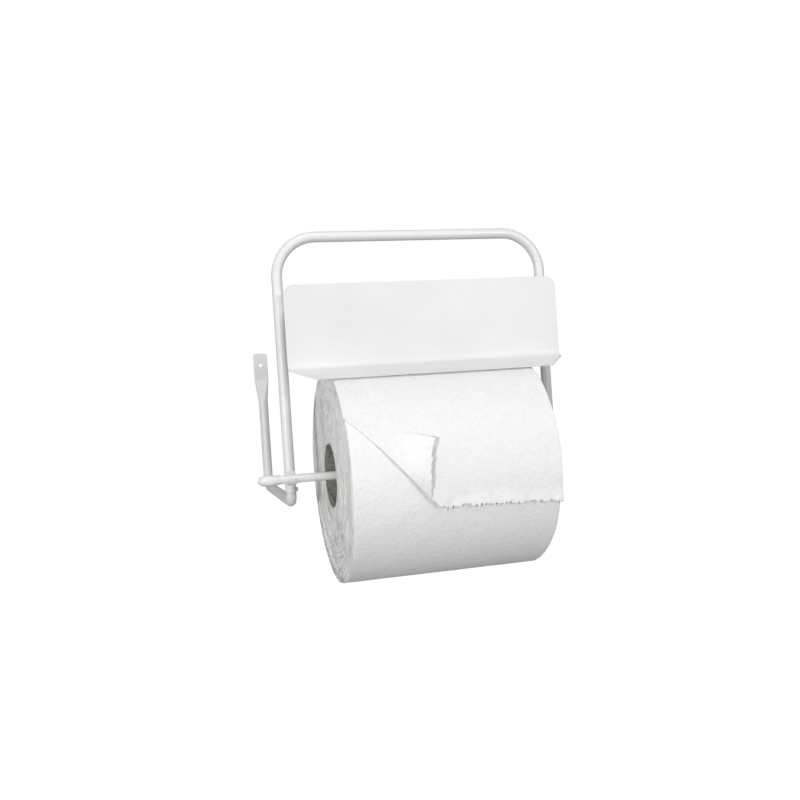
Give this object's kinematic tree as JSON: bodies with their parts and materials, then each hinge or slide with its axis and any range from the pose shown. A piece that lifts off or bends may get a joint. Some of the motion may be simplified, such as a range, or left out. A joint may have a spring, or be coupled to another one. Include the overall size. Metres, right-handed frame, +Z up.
{
  "type": "paper towel holder",
  "caption": "Wall-mounted white tube frame that holds a wide paper roll on a pull-out spindle, with a hinged sheet-metal tear flap resting above the roll.",
  "frame": {"origin": "midway between the two wall screws, on the wall plane", "axes": "+X along the spindle towards the viewer's right, -Y away from the wall towards the user, +Z up"},
  "size_m": [0.3841, 0.3868, 0.4178],
  "materials": {
    "white_tube": "gloss white powder coat",
    "white_sheet": "satin white powder coat",
    "white_rod": "gloss white enamel",
    "white_sleeve": "soft white vinyl",
    "white_moulding": "matt moulded plastic",
    "grey_washer": "matt nylon",
    "zinc_steel": "bright zinc",
    "towel_paper": "soft embossed towel paper",
    "core_board": "matt grey-brown board"
  },
  "bodies": {
    "frame": {"frame_hoop": "white_tube", "left_wall_arm": "white_tube", "right_wall_arm": "white_tube", "left_spindle_hook": "white_sheet", "right_spindle_hook": "white_sheet", "joint_screws": "zinc_steel", "pivot_pins": "zinc_steel", "pivot_washers": "grey_washer", "pivot_retainers": "zinc_steel"},
    "tear_flap": {"tear_plate": "white_sheet", "left_plate_ear": "white_sheet", "right_plate_ear": "white_sheet"},
    "spindle": {"spindle_rod": "white_rod", "spindle_grip": "white_sleeve"},
    "roll": {"left_core_hub": "white_moulding", "right_core_hub": "white_moulding", "roll_core": "core_board", "paper_roll": "towel_paper", "paper_tail": "towel_paper"}
  },
  "joints": [
    {"name": "flap_swing", "type": "hinge", "parent": "frame", "child": "tear_flap", "pos_m": [0, -0.246, 0.064], "axis": [-1, 0, 0], "range_deg": [0, 60]},
    {"name": "spindle_pull", "type": "slide", "parent": "frame", "child": "spindle", "axis": [-1, 0, 0], "range_m": [0, 0.3]},
    {"name": "roll_spin", "type": "hinge", "parent": "frame", "child": "roll", "pos_m": [0, -0.2594, -0.146], "axis": [1, 0, 0], "continuous": true}
  ]
}
